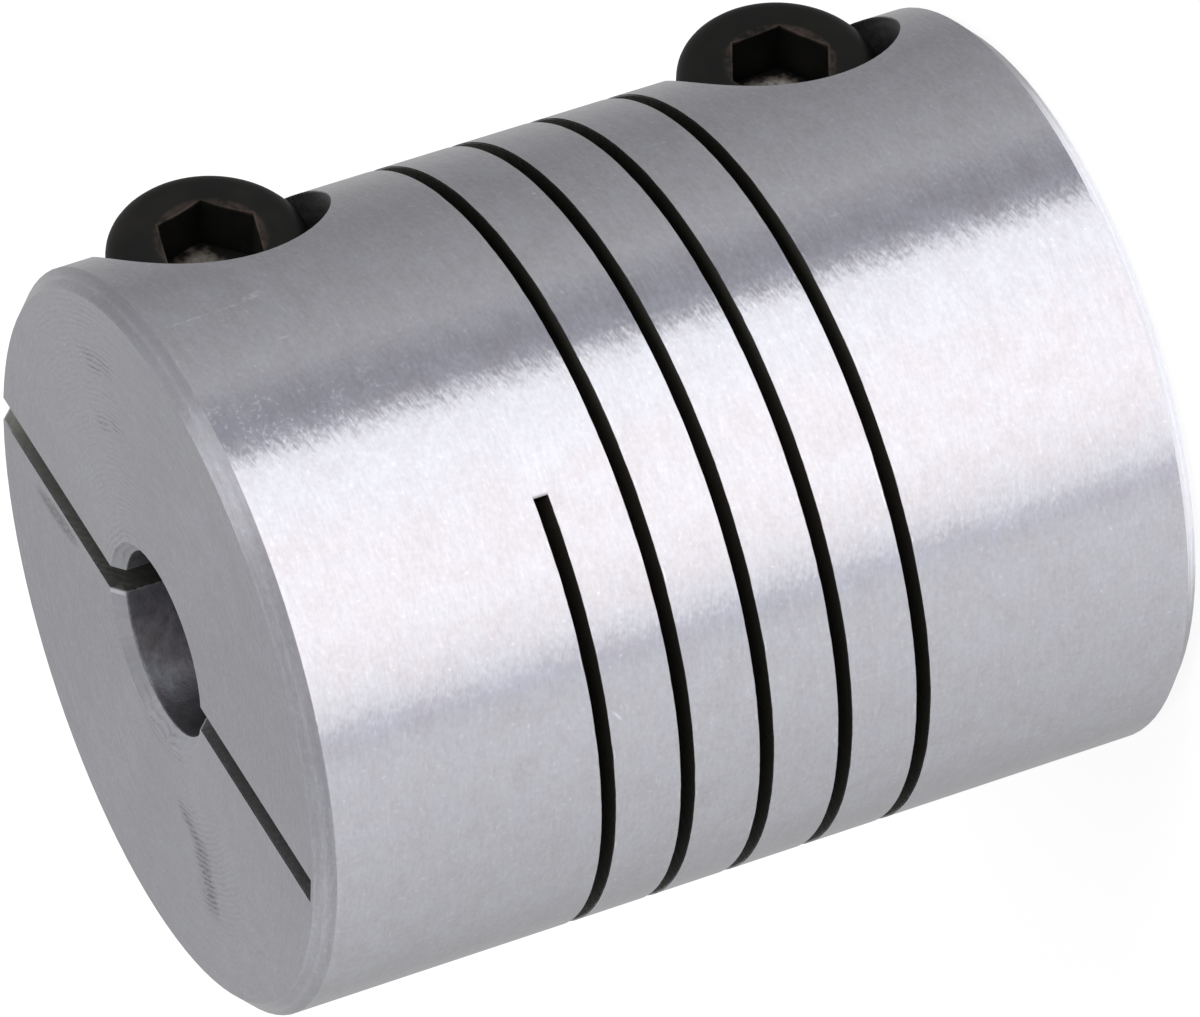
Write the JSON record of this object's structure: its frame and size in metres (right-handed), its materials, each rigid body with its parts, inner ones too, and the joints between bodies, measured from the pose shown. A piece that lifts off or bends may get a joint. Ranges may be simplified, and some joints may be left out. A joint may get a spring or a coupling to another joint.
{
  "type": "flexible coupling",
  "caption": "One-piece shaft coupling: a turned aluminium cylinder with a helical cut that lets it flex, and a split clamp hub with a socket head screw at each end.",
  "frame": {"origin": "on the shaft axis, in the lower end face", "axes": "+Z along the shaft axis, out of the upper bore; the screw heads face -Y and both clamp slits open towards +X"},
  "size_m": [0.02, 0.02, 0.025],
  "materials": {
    "coupling_body": "satin, fine turned lines",
    "upper_clamp_screw": "black oxide, lightly oiled",
    "lower_clamp_screw": "black oxide, lightly oiled"
  },
  "bodies": {
    "root": {"coupling_body": "coupling_body", "upper_clamp_screw": "upper_clamp_screw", "lower_clamp_screw": "lower_clamp_screw"}
  },
  "joints": []
}
